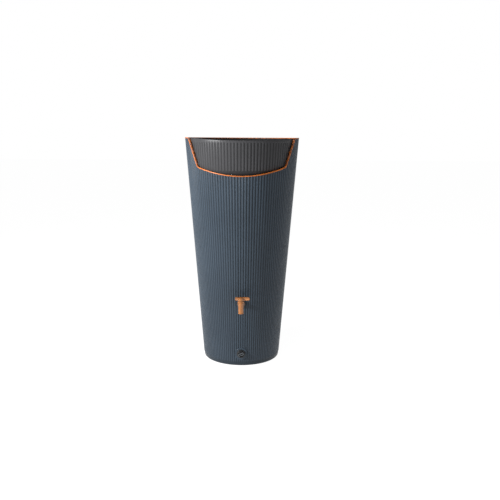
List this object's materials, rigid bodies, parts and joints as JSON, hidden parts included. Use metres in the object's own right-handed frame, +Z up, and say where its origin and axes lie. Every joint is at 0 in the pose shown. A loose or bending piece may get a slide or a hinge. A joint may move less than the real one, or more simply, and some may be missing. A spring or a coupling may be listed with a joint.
{
  "type": "rain barrel",
  "caption": "Ribbed conical rain barrel with a lift-out planting bowl set into a cut-out rim, a quarter-turn tap low on the front, a screwed drain plug and a rear hose inlet.",
  "frame": {"origin": "centre of the flat base, on the ground", "axes": "+Z up along the barrel's axis; -Y is the front, where the cut-out, the tap and the drain plug are; +X is the viewer's right when facing the front"},
  "size_m": [0.5816, 0.601, 1.15],
  "materials": {
    "graphite_shell": "satin moulded polyethylene, blue-grey",
    "copper_strip": "copper-coloured soft plastic",
    "bowl_grey": "satin moulded plastic, neutral grey",
    "copper_tap": "copper-effect coated plastic",
    "black_plastic": "moulded, fine grain",
    "black_rubber": "moulded rubber",
    "white_plastic": "acetal",
    "steel": "stainless screw"
  },
  "bodies": {
    "barrel": {"barrel_shell": "graphite_shell", "edge_trim": "copper_strip", "tap_body": "copper_tap", "tap_retaining_ring": "copper_tap", "tap_outer_washer": "black_rubber", "tap_inner_washer": "black_rubber", "tap_locknut": "black_plastic", "drain_bushing": "black_plastic", "drain_seal": "black_rubber", "drain_nut": "black_plastic", "inlet_spigot": "black_plastic", "inlet_seal": "black_rubber", "inlet_nut": "black_plastic"},
    "bowl": {"planter_bowl": "bowl_grey"},
    "bowl_plug": {"bowl_drain_plug": "black_plastic", "bowl_plug_seal": "black_rubber"},
    "tap_lever": {"tap_handle": "copper_tap", "handle_cap": "copper_tap", "handle_screw": "steel", "tap_plug": "white_plastic", "plug_o_rings": "black_rubber"},
    "drain_closure": {"drain_plug": "black_plastic", "drain_plug_o_ring": "black_rubber"}
  },
  "joints": [
    {"name": "bowl_lift", "type": "slide", "parent": "barrel", "child": "bowl", "axis": [0, 0, 1], "range_m": [0, 0.2]},
    {"name": "bowl_plug_lift", "type": "slide", "parent": "bowl", "child": "bowl_plug", "axis": [0, 0, 1], "range_m": [0, 0.04]},
    {"name": "tap_turn", "type": "hinge", "parent": "barrel", "child": "tap_lever", "pos_m": [0, -0.274, 0.37], "axis": [0, 0, -1], "range_deg": [0, 90]},
    {"name": "drain_plug_out", "type": "slide", "parent": "barrel", "child": "drain_closure", "axis": [0, -1, 0], "range_m": [0, 0.05]}
  ]
}
